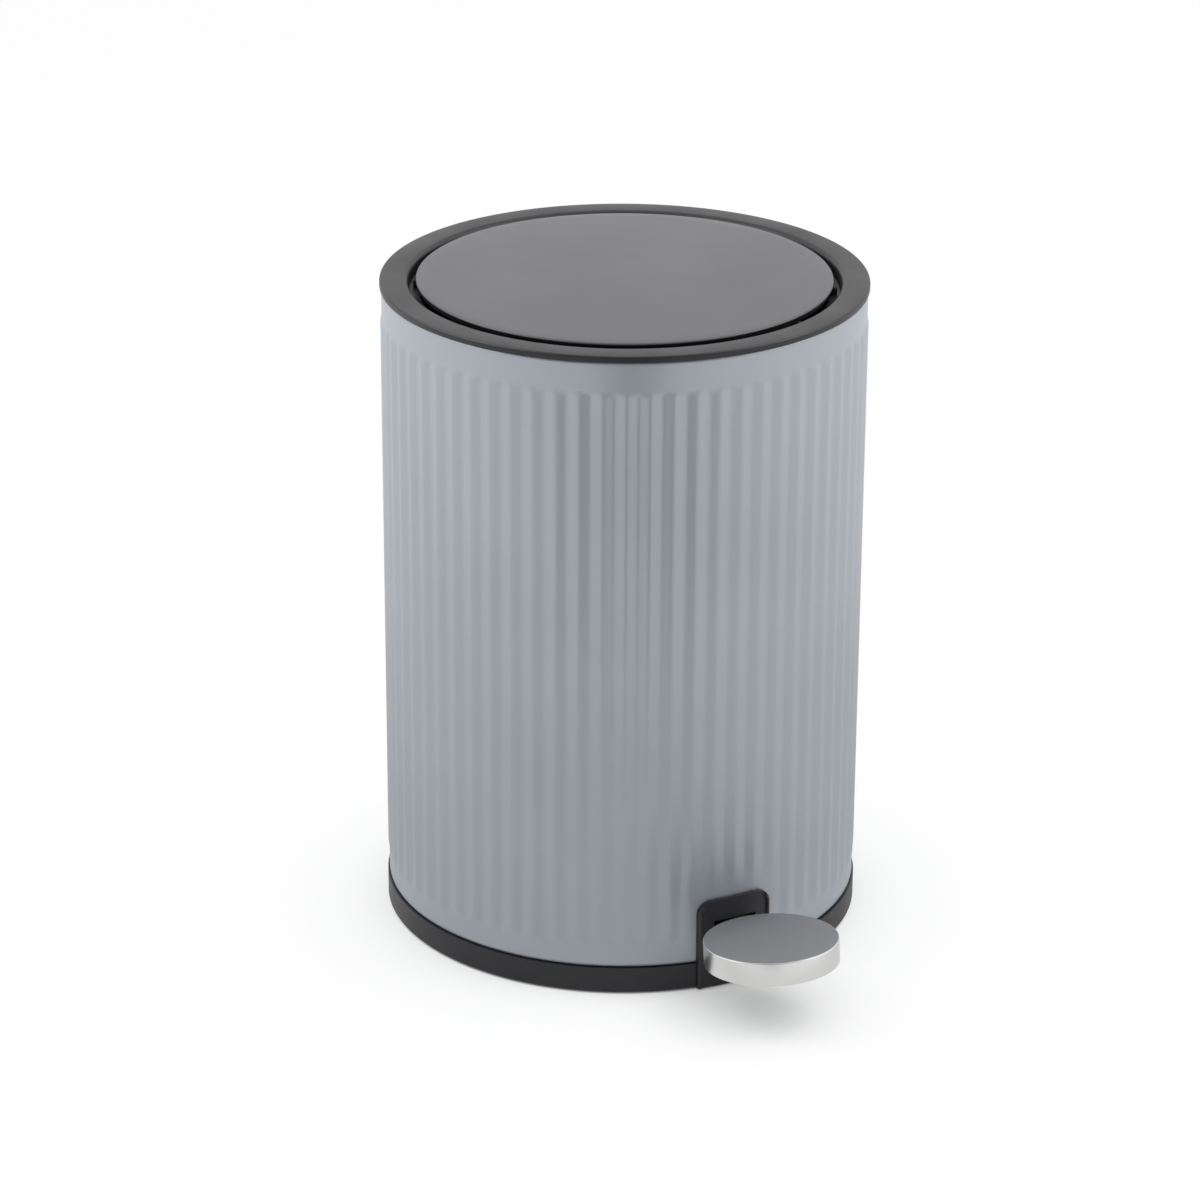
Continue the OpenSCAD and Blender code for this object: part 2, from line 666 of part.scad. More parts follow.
module pedal_lever() {
    half = lever_w / 2;
    front_u = pad_u - cap_r - 1.5;
    back_u = back_arm - 10;
    slot_half = rod_r + air;
    up = web_top;
    rise = pedal_rise_deg;
    drop = back_drop_deg;
    profile = [
        [-front_u * cos(rise) + up * sin(rise), front_u * sin(rise) + up * cos(rise)],
        [0, up],
        [back_u * cos(drop), up - back_u * sin(drop)],
        [back_u * cos(drop), -up - back_u * sin(drop)],
        [0, -up],
        [-front_u * cos(rise), front_u * sin(rise) - up]
    ];
    hollow = [
        [-front_u * cos(rise) - 5, (front_u + 5) * sin(rise) + web_low],
        [0, web_low],
        [back_u + 1, web_low - (back_u + 1) * tan(drop)],
        [back_u + 1, -3 * up - back_u * sin(drop)],
        [0, -4 * up],
        [-front_u * cos(rise) - 5, -3 * up]
    ];
    color(steel_dark) difference() {
        union() {
            translate([0, axle_y, axle_z]) difference() {
                yz_plate(-half, half) {
                    polygon(profile);
                    translate([0, -2]) circle(r = up + 2, $fn = 64);
                }
                yz_plate(-half + lever_t, half - lever_t) polygon(hollow);
            }
            // tongue under the pad
            pedal_frame() box(-half + 0.5, half - 0.5, -pad_u - tongue_end, -front_u + 2, web_low, web_top);
            // tab for the rod's lower hook
            translate([0, axle_y, axle_z]) rotate([-back_drop_deg, 0, 0])
                yz_plate(-tab_half, tab_half) {
                    translate([back_u - 8, -up]) square([18, 2 * up]);
                    translate([back_arm, 0]) circle(r = up, $fn = 48);
                }
        }
        translate([0, axle_y, axle_z]) x_pin(bush_r + bore_play, -half - 1, half + 1);
        translate([0, axle_y, axle_z]) rotate([-back_drop_deg, 0, 0])
            yz_plate(-tab_half - 1, tab_half + 1) {
                translate([back_arm - 0.8, -slot_half]) square([1.6, 2 * slot_half]);
                for (s = [-1, 1]) translate([back_arm + s * 0.8, 0]) circle(r = slot_half, $fn = 48);
            }
        pedal_frame() for (y = pad_screw_y) translate([0, y - pad_u, 0])
            cylinder(r = screw_d / 2 + 2 * bore_play, h = web_top + 1, $fn = 32);
    }
}

module lever_bush() {
    color(plastic_grey) translate([0, axle_y, axle_z]) difference() {
        x_pin(bush_r, -boss_x + air, boss_x - air);
        x_pin(axle_d / 2 + bore_play, -body_r, body_r);
    }
}

module pedal_core() {
    core_r = cap_r - cap_t - fit;
    color(plastic_black) pedal_frame() translate([0, -pad_u, 0]) difference() {
        translate([0, 0, cap_low + 0.8]) cylinder(r = core_r, h = cap_h - cap_t - 0.8 - bore_play, $fn = 96);
        box(-lever_w / 2 - air, lever_w / 2 + air, -tongue_end - air, cap_r, cap_low, web_top + bore_play);
        for (y = pad_screw_y) translate([0, y, web_top - 1])
            cylinder(r = screw_d / 2 + bore_play, h = pad_screw_reach + 1.1, $fn = 32);
    }
}

module pedal_cap() {
    color(steel_satin) pedal_frame() translate([0, -pad_u, 0]) difference() {
        rotate_extrude($fn = 128) polygon(concat(
            [[0, cap_top]],
            arc(cap_r - cap_round, cap_top - cap_round, cap_round, 90, 0, 6),
            [[cap_r, cap_low], [cap_r - cap_t, cap_low],
             [cap_r - cap_t, cap_top - cap_t], [0, cap_top - cap_t]]));
        box(-lever_w / 2 - air, lever_w / 2 + air, 0, cap_r + 1, cap_low - 1, web_top + 0.4);
    }
}

module pedal_screws() {
    color(steel_dark) pedal_frame() for (y = pad_screw_y) translate([0, y - pad_u, web_low])
        screw(lever_t + pad_screw_reach - 0.1);
}

module push_rod() {
    color(steel_dark) translate([0, rod_y, 0]) {
        translate([rod_x, 0, rod_low_z]) cylinder(r = rod_r, h = rod_high_z - rod_low_z, $fn = 48);
        for (z = [rod_low_z, rod_high_z]) translate([0, 0, z]) {
            x_pin(rod_r, hook_end_x, rod_x, $fn = 48);
            translate([rod_x, 0, 0]) sphere(r = rod_r, $fn = 48);
        }
    }
}

module rod_clips() {
    clip_x = hook_end_x + rod_clip_t / 2 + 0.3;
    color(plastic_grey) for (z = [rod_low_z, rod_high_z]) translate([0, rod_y, z]) difference() {
        x_pin(rod_clip_d / 2, clip_x - rod_clip_t / 2, clip_x + rod_clip_t / 2);
        x_pin(rod_r + bore_play, -body_r, body_r);
    }
}

module damper_link() {
    dx = damper_x - rod_x;
    dy = damper_y - rod_y;
    color(plastic_grey) translate([rod_x, rod_y, link_z]) difference() {
        union() {
            cylinder(r = link_r, h = link_t, $fn = 48);
            translate([dx, dy, 0]) cylinder(r = link_r, h = link_t, $fn = 48);
            rotate(atan2(dy, dx)) box(0, norm([dx, dy]), -2, 2, 0, link_t);
        }
        translate([0, 0, -1]) cylinder(r = rod_r + bore_play, h = link_t + 2, $fn = 48);
        translate([dx, dy, -1]) cylinder(r = rod_r + bore_play, h = link_t + 2, $fn = 48);
    }
}

module damper_plunger() {
    color(steel_satin) translate([damper_x, damper_y, 0]) {
        translate([0, 0, damper_low + 4]) cylinder(r = damper_bore / 2 - 0.2, h = 5, $fn = 48);
        translate([0, 0, damper_low + 8]) cylinder(r = rod_r, h = link_z + link_t - damper_low - 8, $fn = 48);
    }
}

module inner_bucket() {
    in_r = bucket_r - bucket_t;
    // slope between the bucket's wall and its bottom
    bevel = 3;
    color(bucket_black) translate([0, bucket_y, 0]) difference() {
        union() {
            rotate_extrude($fn = 144) polygon([[0, bucket_low], [bucket_foot_r - bevel, bucket_low],
                [bucket_foot_r, bucket_low + bevel], [bucket_r, bucket_top - bucket_lip],
                [flange_r, bucket_top - bucket_lip], [flange_r, bucket_top], [in_r, bucket_top],
                [bucket_foot_r - bucket_t, bucket_low + bevel + 1],
                [bucket_foot_r - bevel - 1, bucket_low + bucket_t], [0, bucket_low + bucket_t]]);
            for (s = [-1, 1]) {
                x0 = s * (bucket_ear_x + bucket_ear_t / 2) - bucket_ear_t / 2;
                box(x0, x0 + bucket_ear_t, -bucket_ear_r, bucket_ear_r, bucket_top - bucket_lip, bail_z);
                translate([0, 0, bail_z]) x_pin(bucket_ear_r, x0, x0 + bucket_ear_t);
            }
        }
        translate([0, 0, bail_z]) x_pin(bail_end_r + fit, -body_r, body_r);
    }
}

module bucket_bail() {
    color(steel_satin) translate([0, bucket_y, bail_z]) {
        rotate(180) rotate_extrude(angle = 180, $fn = 144) translate([bail_r, 0])
            circle(r = bail_d / 2, $fn = 32);
        // the wire's ends are turned inwards and pressed a little thicker where they pivot
        for (s = [-1, 1]) {
            len = bail_r + bail_end_r - bucket_ear_x + 1.5;
            x0 = s * (bail_r + bail_end_r - len / 2) - len / 2;
            x_pin(bail_end_r, x0, x0 + len, $fn = 48);
        }
    }
}

module bail_grip() {
    color(plastic_black) translate([0, bucket_y, bail_z]) rotate(270 - grip_deg / 2)
        rotate_extrude(angle = grip_deg, $fn = 144) translate([bail_r, 0]) difference() {
            circle(r = grip_r, $fn = 32);
            circle(r = bail_d / 2 + bore_play, $fn = 32);
        }
}

outer_shell();
rim_ring();
base_moulding();
floor_ring();
pedal_surround();
rear_column();
column_screws();
hinge_pin();
hinge_pin_clips();
lid_buffers();
pedal_axle();
axle_clips();
damper_cylinder();
lid_cap();
lid_liner();
pedal_lever();
lever_bush();
pedal_core();
pedal_cap();
pedal_screws();
push_rod();
rod_clips();
damper_link();
damper_plunger();
inner_bucket();
bucket_bail();
bail_grip();
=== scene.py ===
import math

import bmesh
import bpy
from mathutils import Matrix, Vector


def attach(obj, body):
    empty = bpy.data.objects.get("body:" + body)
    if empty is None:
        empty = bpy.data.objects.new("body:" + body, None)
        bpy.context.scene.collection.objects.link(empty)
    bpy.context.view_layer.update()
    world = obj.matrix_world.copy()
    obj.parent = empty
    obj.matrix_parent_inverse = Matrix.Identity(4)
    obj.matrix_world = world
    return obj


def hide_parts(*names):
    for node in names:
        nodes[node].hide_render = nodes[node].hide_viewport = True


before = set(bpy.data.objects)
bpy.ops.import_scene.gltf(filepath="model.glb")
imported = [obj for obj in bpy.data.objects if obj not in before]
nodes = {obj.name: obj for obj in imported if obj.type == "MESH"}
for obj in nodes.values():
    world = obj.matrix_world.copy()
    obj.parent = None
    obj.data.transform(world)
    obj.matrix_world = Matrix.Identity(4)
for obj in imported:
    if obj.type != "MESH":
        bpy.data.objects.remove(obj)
bpy.context.view_layer.update()
mm = 0.001

# Camera. A long lens in front of the bin and above it, turned so that the pedal shows right of
# the middle. It aims at the middle of the body, a touch left of and below the picture's centre.
pitch = 0.3893
turn = math.radians(-27.92)
distance = 1.6947
aim = Vector((0, 0, 0.130))
pan = 0.0052
tilt = -0.00273
roll = 0.00699
camera_data = bpy.data.cameras.new("camera")
camera_data.sensor_width = 36
camera_data.lens = 129.59
camera_data.clip_start = 0.05
camera_data.clip_end = 60
camera = bpy.data.objects.new("camera", camera_data)
bpy.context.scene.collection.objects.link(camera)
away = Vector((0, -math.cos(pitch), math.sin(pitch)))
camera.matrix_world = (
    Matrix.Rotation(turn, 4, "Z")
    @ Matrix.Translation(aim + distance * away)
    @ Matrix.Rotation(math.pi / 2 - pitch, 4, "X")
    @ Matrix.Rotation(pan, 4, "Y")
    @ Matrix.Rotation(tilt, 4, "X")
    @ Matrix.Rotation(roll, 4, "Z")
)
bpy.context.scene.camera = camera
bpy.context.scene.view_settings.view_transform = "Standard"


# Studio. A white sweep under and behind the bin, a small soft box above each side of it and a
# weak one above its back. The front gets the least light, and gloss sees a painted shadow round the bin.
def worked_out(tree, operation, first, second):
    """A sum, product or greater value of two sockets."""
    node = tree.nodes.new("ShaderNodeMath")
    node.operation = operation
    tree.links.new(first, node.inputs[0])
    tree.links.new(second, node.inputs[1])
    return node.outputs[0]


def ramped(tree, value, start, end, low=0.0, high=1.0, shape="LINEAR"):
    """Goes from low to high while a value goes from start to end."""
    node = tree.nodes.new("ShaderNodeMapRange")
    node.interpolation_type = shape
    node.inputs["From Min"].default_value = start
    node.inputs["From Max"].default_value = end
    node.inputs["To Min"].default_value = low
    node.inputs["To Max"].default_value = high
    tree.links.new(value, node.inputs["Value"])
    return node.outputs["Result"]


world = bpy.data.worlds.new("studio")
bpy.context.scene.world = world
world.use_nodes = True
tree = world.node_tree
tree.nodes.clear()
rays = tree.nodes.new("ShaderNodeLightPath")
seen = worked_out(tree, "MAXIMUM", rays.outputs["Is Camera Ray"], rays.outputs["Is Transmission Ray"])
mirrored = worked_out(tree, "MAXIMUM", seen, rays.outputs["Is Glossy Ray"])
facing = tree.nodes.new("ShaderNodeVectorMath")
facing.operation = "DOT_PRODUCT"
facing.inputs[1].default_value = Matrix.Rotation(turn, 3, "Z") @ Vector((0, -1, 0.1))
tree.links.new(tree.nodes.new("ShaderNodeTexCoord").outputs["Generated"], facing.inputs[0])
to_camera = facing.outputs["Value"]
white = tree.nodes.new("ShaderNodeBackground")
white.inputs["Color"].default_value = (1, 1, 1, 1)
in_gloss = ramped(tree, to_camera, 0.35, 0.9, 1, 0.25, "SMOOTHSTEP")
tree.links.new(worked_out(tree, "MAXIMUM", in_gloss, seen), white.inputs["Strength"])
dim = tree.nodes.new("ShaderNodeBackground")
dim.inputs["Color"].default_value = (0.97, 0.985, 1, 1)
on_matt = ramped(tree, to_camera, 0.4, 1, 0.78, 0.24, "SMOOTHSTEP")
tree.links.new(on_matt, dim.inputs["Strength"])
choose = tree.nodes.new("ShaderNodeMixShader")
tree.links.new(mirrored, choose.inputs["Fac"])
tree.links.new(dim.outputs[0], choose.inputs[1])
tree.links.new(white.outputs[0], choose.inputs[2])
tree.links.new(choose.outputs[0], tree.nodes.new("ShaderNodeOutputWorld").inputs["Surface"])


def soft_box(name, azimuth, elevation, reach, width, height, watts):
    """A lamp that faces the bin from a direction in degrees, at a reach in metres."""
    lamp_data = bpy.data.lights.new(name, "AREA")
    lamp_data.shape = "RECTANGLE"
    lamp_data.size = width
    lamp_data.size_y = height
    lamp_data.energy = watts
    lamp = bpy.data.objects.new(name, lamp_data)
    bpy.context.scene.collection.objects.link(lamp)
    lamp.matrix_world = (
        Matrix.Translation((0, 0, 0.13))
        @ Matrix.Rotation(math.radians(azimuth), 4, "Z")
        @ Matrix.Rotation(math.radians(90 - elevation), 4, "X")
        @ Matrix.Translation((0, 0, reach))
    )
    return lamp


front_azimuth = -27.7
soft_box("left_lamp", front_azimuth - 84, 45, 0.75, 0.5, 0.5, 2.3)
soft_box("right_lamp", front_azimuth + 84, 45, 0.75, 0.5, 0.5, 1.9)
top_lamp = soft_box("top_lamp", front_azimuth + 135, 48, 1.7, 1.4, 1.0, 3.2)
top_lamp.visible_glossy = False

sweep_form = bmesh.new()
bmesh.ops.create_grid(sweep_form, x_segments=1, y_segments=1, size=6)
sweep_data = bpy.data.meshes.new("sweep")
sweep_form.to_mesh(sweep_data)
sweep_form.free()
sweep = bpy.data.objects.new("sweep", sweep_data)
bpy.context.scene.collection.objects.link(sweep)
paper = bpy.data.materials.new("paper")
paper.use_nodes = True
tree = paper.node_tree
tree.nodes.clear()
matt = tree.nodes.new("ShaderNodeBsdfDiffuse")
matt.inputs["Color"].default_value = (0.95, 0.95, 0.95, 1)
glow = tree.nodes.new("ShaderNodeEmission")
glow.inputs["Color"].default_value = (1, 1, 1, 1)
rays = tree.nodes.new("ShaderNodeLightPath")
from_bin = tree.nodes.new("ShaderNodeVectorMath")
from_bin.operation = "LENGTH"
tree.links.new(tree.nodes.new("ShaderNodeTexCoord").outputs["Object"], from_bin.inputs[0])
# painted shadow: for gloss the paper's glow is held at 0.6 within 0.16 m of the bin's axis and rises to
# full by 0.62 m
painted_floor_shadow = ramped(tree, from_bin.outputs["Value"], 0.16, 0.62, 0.6, 1)
strength = worked_out(tree, "MAXIMUM", rays.outputs["Is Camera Ray"], painted_floor_shadow)
tree.links.new(strength, glow.inputs["Strength"])
seen = worked_out(tree, "MAXIMUM", rays.outputs["Is Camera Ray"], rays.outputs["Is Glossy Ray"])
mirrored = worked_out(tree, "MAXIMUM", seen, rays.outputs["Is Transmission Ray"])
open_sky = tree.nodes.new("ShaderNodeAmbientOcclusion")
open_sky.inputs["Distance"].default_value = 0.06
lit = ramped(tree, open_sky.outputs["AO"], 0, 1, 0, 0.95)
choose = tree.nodes.new("ShaderNodeMixShader")
tree.links.new(worked_out(tree, "MULTIPLY", mirrored, lit), choose.inputs["Fac"])
tree.links.new(matt.outputs[0], choose.inputs[1])
tree.links.new(glow.outputs[0], choose.inputs[2])
tree.links.new(choose.outputs[0], tree.nodes.new("ShaderNodeOutputMaterial").inputs["Surface"])
sweep_data.materials.append(paper)

# Grey cards. One lies on the floor under the camera's line and one behind the bin, both outside
# the picture, where only gloss can show them. The satin body mirrors each as a darker stripe.
card_lift = 0.002
near_half = 0.08
near_edge = 0.42
far_half = 0.49
far_edge = 2.6
card_turn = turn + math.radians(4)
card_form = bmesh.new()
for side in (-1, 1):
    corners = ((-near_half, near_edge), (near_half, near_edge), (far_half, far_edge), (-far_half, far_edge))
    card_form.faces.new([card_form.verts.new((x, y * side, card_lift)) for x, y in corners])
bmesh.ops.rotate(card_form, matrix=Matrix.Rotation(card_turn, 3, "Z"), verts=card_form.verts[:])
card_data = bpy.data.meshes.new("grey_card")
card_form.to_mesh(card_data)
card_form.free()
grey_card = bpy.data.objects.new("grey_card", card_data)
bpy.context.scene.collection.objects.link(grey_card)
grey_card.visible_camera = False
grey_card.visible_diffuse = False
grey_card.visible_shadow = False
card_paper = bpy.data.materials.new("card_paper")
card_paper.use_nodes = True
card_shader = card_paper.node_tree.nodes["Principled BSDF"]
card_shader.inputs["Base Color"].default_value = (0.15, 0.152, 0.156, 1)
card_data.materials.append(card_paper)


# Base. A black ring moulded in one with the raised floor inside it. The shell is pushed over
# its upstand, and its outer face is eased at the bottom and at the top edge.
def coat(name, colour, roughness, metallic=0.0, specular=0.5):
    """A new material with its shader set; returns it with its node tree and shader."""
    material = bpy.data.materials.new(name)
    material.use_nodes = True
    shader = material.node_tree.nodes["Principled BSDF"]
    shader.inputs["Base Color"].default_value = (*colour, 1)
    shader.inputs["Roughness"].default_value = roughness
    shader.inputs["Metallic"].default_value = metallic
    shader.inputs["Specular IOR Level"].default_value = specular
    return material, material.node_tree, shader


def speckle(tree, scale, detail=3.0, vector=None):
    """A noise on the piece's own coordinates, in metres."""
    noise = tree.nodes.new("ShaderNodeTexNoise")
    noise.inputs["Scale"].default_value = scale
    noise.inputs["Detail"].default_value = detail
    if vector is None:
        vector = tree.nodes.new("ShaderNodeTexCoord").outputs["Object"]
    tree.links.new(vector, noise.inputs["Vector"])
    return noise.outputs["Fac"]


def spread(tree, value, low, high):
    """Turns a noise into a number between low and high."""
    return ramped(tree, value, 0.3, 0.7, low, high)


def tint(tree, shader, value, dark, light):
    """Lets a noise vary the colour between two shades."""
    ramp = tree.nodes.new("ShaderNodeValToRGB")
    ramp.color_ramp.elements[0].position = 0.32
    ramp.color_ramp.elements[0].color = (*dark, 1)
    ramp.color_ramp.elements[1].position = 0.68
    ramp.color_ramp.elements[1].color = (*light, 1)
    tree.links.new(value, ramp.inputs["Fac"])
    tree.links.new(ramp.outputs["Color"], shader.inputs["Base Color"])


def relief(tree, shader, value, depth, strength):
    """Raises a noise as a bump of so many metres."""
    bump = tree.nodes.new("ShaderNodeBump")
    bump.inputs["Distance"].default_value = depth
    bump.inputs["Strength"].default_value = strength
    tree.links.new(value, bump.inputs["Height"])
    tree.links.new(bump.outputs["Normal"], shader.inputs["Normal"])


# fine spark-eroded grain, with a slightly uneven sheen where the plastic flowed
moulded_black, tree, shader = coat("moulded_black", (0.0139, 0.0135, 0.0164), 0.4)
tint(tree, shader, speckle(tree, 60), (0.012, 0.0117, 0.0144), (0.0158, 0.0154, 0.0184))
tree.links.new(spread(tree, speckle(tree, 35), 0.36, 0.46), shader.inputs["Roughness"])
relief(tree, shader, speckle(tree, 2600, 2), 0.00002, 0.5)


def clad(material, *names):
    """Gives CAD nodes their finish."""
    for name in names:
        nodes[name].data.materials.clear()
        nodes[name].data.materials.append(material)


clad(moulded_black, "base_moulding", "rear_column")

# Floor ring. A flat rubber band pressed into its seat under the base, which keeps the bin from
# sliding. The soft stops under the lid's edge are of the same rubber.
rubber, tree, shader = coat("rubber", (0.02, 0.02, 0.021), 0.75, specular=0.3)
tint(tree, shader, speckle(tree, 90), (0.016, 0.016, 0.017), (0.026, 0.026, 0.027))
relief(tree, shader, speckle(tree, 1500, 4), 0.00004, 0.6)
clad(rubber, "floor_ring", "lid_buffers")

# Rods, pins and screws. Bright zinc plated steel wire, pressings and plain screws, which the
# mechanism behind the bucket and under the floor is put together with.
zinc, tree, shader = coat("zinc", (0.55, 0.56, 0.57), 0.34, metallic=1.0)
tint(tree, shader, speckle(tree, 140), (0.47, 0.48, 0.5), (0.6, 0.61, 0.62))
tree.links.new(spread(tree, speckle(tree, 90), 0.27, 0.42), shader.inputs["Roughness"])
relief(tree, shader, speckle(tree, 1800, 3), 0.00001, 0.4)
clad(
    zinc, "hinge_pin", "pedal_axle", "axle_clips", "pedal_lever", "push_rod",
    "bucket_bail", "column_screws", "pedal_screws", "damper_plunger",
)

# Bushes, clips and the damper. Natural grey acetal and nylon, turned or moulded, matt from use.
# They are pressed or snapped on to the rods and pins.
grey_nylon, tree, shader = coat("grey_nylon", (0.42, 0.43, 0.44), 0.5)
tint(tree, shader, speckle(tree, 120), (0.38, 0.39, 0.4), (0.45, 0.46, 0.47))
relief(tree, shader, speckle(tree, 2200, 2), 0.00001, 0.5)
clad(grey_nylon, "lever_bush", "rod_clips", "hinge_pin_clips", "damper_cylinder", "damper_link")


# Shell. A steel sheet rolled into a tube and pressed with upright flutes that stop short of both
# ends and of the pedal, and painted satin grey. Its bottom edge is turned in at the base.
def eased(x):
    """A ramp from 0 to 1 with its two ends rounded."""
    x = min(max(x, 0.0), 1.0)
    return x * (1 + x * (3 - 2 * x)) / 2


def finished(name, form, body, material, sharp=32.0):
    """Makes a bmesh into a piece at the origin that rides on a CAD body."""
    bmesh.ops.remove_doubles(form, verts=form.verts[:], dist=1e-6)
    bmesh.ops.recalc_face_normals(form, faces=form.faces[:])
    data = bpy.data.meshes.new(name)
    form.to_mesh(data)
    form.free()
    data.shade_smooth()
    data.set_sharp_from_angle(angle=math.radians(sharp))
    data.materials.append(material)
    piece = bpy.data.objects.new(name, data)
    bpy.context.scene.collection.objects.link(piece)
    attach(piece, body)
    return piece


def settled(piece):
    """Applies a piece's modifiers."""
    ready = piece.evaluated_get(bpy.context.evaluated_depsgraph_get())
    data = bpy.data.meshes.new_from_object(ready)
    piece.modifiers.clear()
    old = piece.data
    piece.data = data
    bpy.data.meshes.remove(old)
    data.name = piece.name


shell_radius = 92.8
sheet_steel = 0.6
shell_low = 11.0
shell_high = 256.1
turned_in = 1.3
turn_height = 1.6
flutes = 66
steps_in_flute = 12
crest = 0.45
valley = 0.5
flute_low = 20.0
flute_high = 245.0
flute_run_out = 3.0
flat_by_weld = 4
flank = 0.95
seat_half = 15.5
seat_top = 37
flat_by_seat = 0.6
seat_run_out = 8

satin_grey, tree, shader = coat("satin_grey", (0.406, 0.436, 0.475), 0.33, metallic=0.48)
tint(tree, shader, speckle(tree, 14, 2), (0.396, 0.425, 0.4625), (0.418, 0.449, 0.4875))
tree.links.new(spread(tree, speckle(tree, 25), 0.36, 0.39), shader.inputs["Roughness"])
relief(tree, shader, speckle(tree, 900, 2), 0.00001, 0.35)

# the rows of the mesh, closer together where the flutes end at the surround and at both ends
form = bmesh.new()
heights = [shell_low, 11.15, 11.45, 11.9, 12.6, flute_low - 3]
heights += [flute_low + flute_run_out * i / 6 for i in range(7)]
heights += [37.8 + 1.8 * i for i in range(10)] + [60.0]
heights += [flute_high - flute_run_out * (6 - i) / 6 for i in range(7)]
heights += [flute_high + 4, 255.0, shell_high]
line = [form.verts.new((shell_radius * mm, 0, z * mm)) for z in heights]
for low, high in zip(line, line[1:]):
    form.edges.new((low, high))
bmesh.ops.spin(
    form, geom=form.verts[:] + form.edges[:], cent=(0, 0, 0), axis=(0, 0, 1),
    dvec=(0, 0, 0), angle=2 * math.pi, steps=flutes * steps_in_flute, use_merge=True,
)
bmesh.ops.remove_doubles(form, verts=form.verts[:], dist=1e-6)
for v in form.verts:
    angle = math.atan2(v.co.y, v.co.x)
    z = v.co.z / mm
    fade = eased((z - flute_low) / flute_run_out) * eased((flute_high - z) / flute_run_out)
    from_weld = abs(math.remainder(angle - math.pi / 2, 2 * math.pi)) * shell_radius
    fade *= eased((from_weld - flat_by_weld) / flat_by_weld)
    aside = abs(math.remainder(angle + math.pi / 2, 2 * math.pi)) * shell_radius - seat_half
    from_seat = math.hypot(max(aside, 0), 0.5 * max(z - seat_top, 0))
    fade *= eased((from_seat - flat_by_seat) / seat_run_out)
    wave = math.asin(flank * math.cos(flutes * (angle + math.pi / 2))) / math.asin(flank)
    lift = fade * ((crest - valley) / 2 + (crest + valley) / 2 * wave)
    up = min(max((z - shell_low) / turn_height, 0), 1)
    tuck = turned_in * (1 - math.sqrt(1 - (1 - up) ** 2))
    v.co.xy *= (shell_radius + lift - tuck) / shell_radius

# the opening behind the pedal surround, with its two upper corners rounded
door_half = 14.95
door_top = 36.45
door_round = 4.95
door_front = -0.088
door_rows = 0.0379
sides = []
for i in range(9):
    lean = math.radians(22.5 * i)
    out = Vector((math.cos(lean), 0, math.sin(lean)))
    heart = Vector((math.copysign(door_half - door_round, out.x), 0, door_top - door_round)) * mm
    sides.append((heart + out * door_round * mm, out))
for point, out in sides:
    near = [f for f in form.faces if all(v.co.y < door_front and v.co.z < door_rows for v in f.verts)]
    near += list({e for f in near for e in f.edges}) + list({v for f in near for v in f.verts})
    bmesh.ops.bisect_plane(form, geom=near, plane_co=point, plane_no=out, dist=1e-7)
doorless = [f for f in form.faces if f.calc_center_median().y < door_front and
            all((f.calc_center_median() - point).dot(out) < 0 for point, out in sides)]
bmesh.ops.delete(form, geom=doorless, context="FACES")
shell = finished("shell_tube", form, "bin", satin_grey)
wall = shell.modifiers.new("sheet", "SOLIDIFY")
wall.thickness = sheet_steel * mm
wall.offset = -1
settled(shell)
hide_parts("outer_shell")


# Weld. The tube's two edges are butted and welded at the back, and the bead shows through the
# paint as a low flat rib between the rim and the base.
def block(size, centre):
    """A box of a size about a centre, both in mm."""
    form = bmesh.new()
    bmesh.ops.create_cube(form, size=1)
    bmesh.ops.scale(form, vec=[length * mm for length in size], verts=form.verts[:])
    bmesh.ops.translate(form, vec=[place * mm for place in centre], verts=form.verts[:])
    return form


form = block((1.6, 0.5, 243.0), (0, 92.72, 134.2))
upright = [e for e in form.edges if abs(e.verts[0].co.z - e.verts[1].co.z) > 0.1]
bmesh.ops.bevel(
    form, geom=upright, offset=0.2 * mm, segments=3, profile=0.5, affect="EDGES", material=-1,
)
weld = finished("shell_weld", form, "bin", satin_grey, 60)


# Rim. A black ring moulded with a flat top, a rounded shoulder and a ledge that the lid's
# buffers rest on. Its skirt plugs into the shell, and the ledge opens for the hinge ears.
def ring_of(form, corners, steps):
    """Turns an outline about the bin's axis. A corner is radius, height and rounding in mm."""
    outline = [form.verts.new((r * mm, 0, z * mm)) for r, z, _ in corners]
    form.faces.new(outline)
    for corner, (_, _, rounding) in zip(outline, corners):
        if rounding:
            bmesh.ops.bevel(
                form, geom=[corner], offset=rounding * mm, segments=5, profile=0.5,
                affect="VERTICES", material=-1,
            )
    bmesh.ops.delete(form, geom=form.faces[:], context="FACES_ONLY")
    on_axis = [e for e in form.edges if all(v.co.x < 1e-7 for v in e.verts)]
    bmesh.ops.delete(form, geom=on_axis, context="EDGES")
    bmesh.ops.spin(
        form, geom=form.verts[:] + form.edges[:], cent=(0, 0, 0), axis=(0, 0, 1),
        dvec=(0, 0, 0), angle=2 * math.pi, steps=steps, use_merge=True,
    )
    return form


def carved(piece, form, sharp=32.0):
    """Cuts a closed bmesh out of a piece."""
    bmesh.ops.recalc_face_normals(form, faces=form.faces[:])
    data = bpy.data.meshes.new("cutter")
    form.to_mesh(data)
    form.free()
    cutter = bpy.data.objects.new("cutter", data)
    bpy.context.scene.collection.objects.link(cutter)
    cut = piece.modifiers.new("cut", "BOOLEAN")
    cut.operation = "DIFFERENCE"
    cut.solver = "EXACT"
    cut.object = cutter
    settled(piece)
    piece.data.shade_smooth()
    piece.data.set_sharp_from_angle(angle=math.radians(sharp))
    bpy.data.objects.remove(cutter)
    bpy.data.meshes.remove(data)


